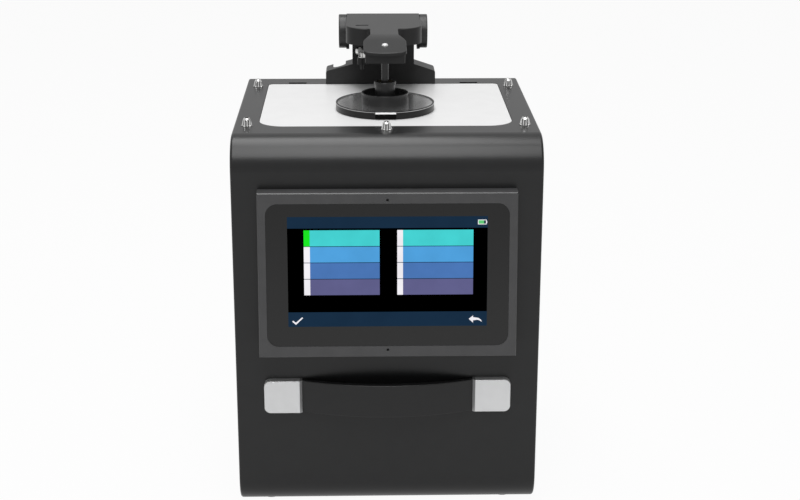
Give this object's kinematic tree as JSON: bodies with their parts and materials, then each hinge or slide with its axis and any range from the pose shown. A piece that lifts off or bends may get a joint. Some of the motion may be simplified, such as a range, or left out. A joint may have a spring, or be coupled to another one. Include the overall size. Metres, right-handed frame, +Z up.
{
  "type": "benchtop spectrophotometer",
  "caption": "Bench spectrophotometer: tall case, tilted touch screen, strap handle on the front, white stage with a measuring port on top, and a hinged arm that presses the sample down.",
  "frame": {"origin": "on the bench, under the middle of the whole object's bounding box, at the level of the feet's undersides", "axes": "+Z up, -Y out of the front where the screen and the handle are, +X to the right seen from the front"},
  "size_m": [0.24, 0.2612, 0.3696],
  "materials": {
    "case_paint": "satin dark grey powder coat",
    "dark_screw": "blackened steel",
    "foot_rubber": "matt",
    "bright_steel": "bright",
    "plain_sheet": "plain zinc-plated sheet",
    "stage_paint": "smooth white",
    "sphere_coating": "matt white diffuser",
    "cast_alloy": "machined",
    "lamp_glass": "clear",
    "black_anodised": "matt black anodised",
    "grating_mirror": "ruled",
    "board_green": "circuit board with fitted parts",
    "battery_wrap": "shrink wrap",
    "bezel_plastic": "fine texture",
    "screen_glass": "polished dark glass",
    "lcd_panel": "lit display panel",
    "strap_rubber": "satin",
    "bracket_silver": "satin silver",
    "socket_plastic": "moulded black",
    "socket_metal": "plated shell",
    "arm_paint": "satin dark grey",
    "bush_brass": "turned",
    "press_black": "dark anodised, fine turned",
    "pad_white": "soft white sheet",
    "tab_black": "matt black",
    "strip_white": "smooth white"
  },
  "bodies": {
    "case": {"wrap_cover": "case_paint", "side_panel_left": "case_paint", "side_panel_right": "case_paint", "side_screws": "dark_screw", "rear_panel": "case_paint", "rear_screws": "dark_screw", "feet": "foot_rubber", "foot_screws": "bright_steel", "base_tray": "plain_sheet", "stage_frame": "plain_sheet", "stage_plate": "stage_paint", "top_screws": "bright_steel", "aperture_ring": "sphere_coating", "sphere_upper": "sphere_coating", "sphere_lower": "sphere_coating", "lamp_housing": "cast_alloy", "flash_lamp": "lamp_glass", "optics_deck": "cast_alloy", "lens_tube": "black_anodised", "collection_lens": "lamp_glass", "spectrometer_case": "black_anodised", "spectrometer_cover": "black_anodised", "grating": "grating_mirror", "detector_board": "board_green", "main_board": "board_green", "power_board": "board_green", "battery_pack": "battery_wrap", "screen_bezel": "bezel_plastic", "bezel_screws": "bright_steel", "touch_glass": "screen_glass", "lcd_module": "lcd_panel", "display_board": "board_green", "handle_strap": "strap_rubber", "handle_brackets": "bracket_silver", "handle_screws": "bright_steel", "dc_jack": "socket_plastic", "usb_port": "socket_metal", "serial_port": "socket_metal", "switch_frame": "socket_plastic", "hinge_bracket": "arm_paint", "bracket_screws": "bright_steel", "hinge_bushes": "bush_brass", "hinge_damper": "socket_plastic", "bolt_lug": "arm_paint"},
    "arm": {"press_arm": "arm_paint", "hinge_pin": "bright_steel", "hinge_caps": "arm_paint", "press_rod": "press_black", "rod_screw": "bright_steel"},
    "press": {"press_disc": "press_black", "pad_sheet": "pad_white", "pad_cup": "press_black", "pad_sleeve": "press_black", "sleeve_bush": "bush_brass", "pad_spring": "bright_steel", "pad_tab": "tab_black", "tab_strip": "strip_white"},
    "bolt": {"wing_bolt": "bright_steel"},
    "rocker": {"switch_rocker": "socket_plastic"}
  },
  "joints": [
    {"name": "arm_hinge", "type": "hinge", "parent": "case", "child": "arm", "pos_m": [0, 0.11594, 0.3549], "axis": [-1, 0, 0], "range_deg": [0, 95]},
    {"name": "press_slide", "type": "slide", "parent": "arm", "child": "press", "axis": [0, 0, 1], "range_m": [0, 0.006], "stiffness_N_per_m": 300, "springref_m": -0.01, "deforming": ["pad_spring"]},
    {"name": "bolt_turn", "type": "hinge", "parent": "case", "child": "bolt", "pos_m": [-0.0186, 0.09234, 0.3361], "axis": [0, 0, 1], "continuous": true},
    {"name": "rocker_tilt", "type": "hinge", "parent": "case", "child": "rocker", "pos_m": [-0.076, 0.12494, 0.0375], "axis": [-1, 0, 0], "range_deg": [0, 18]}
  ]
}
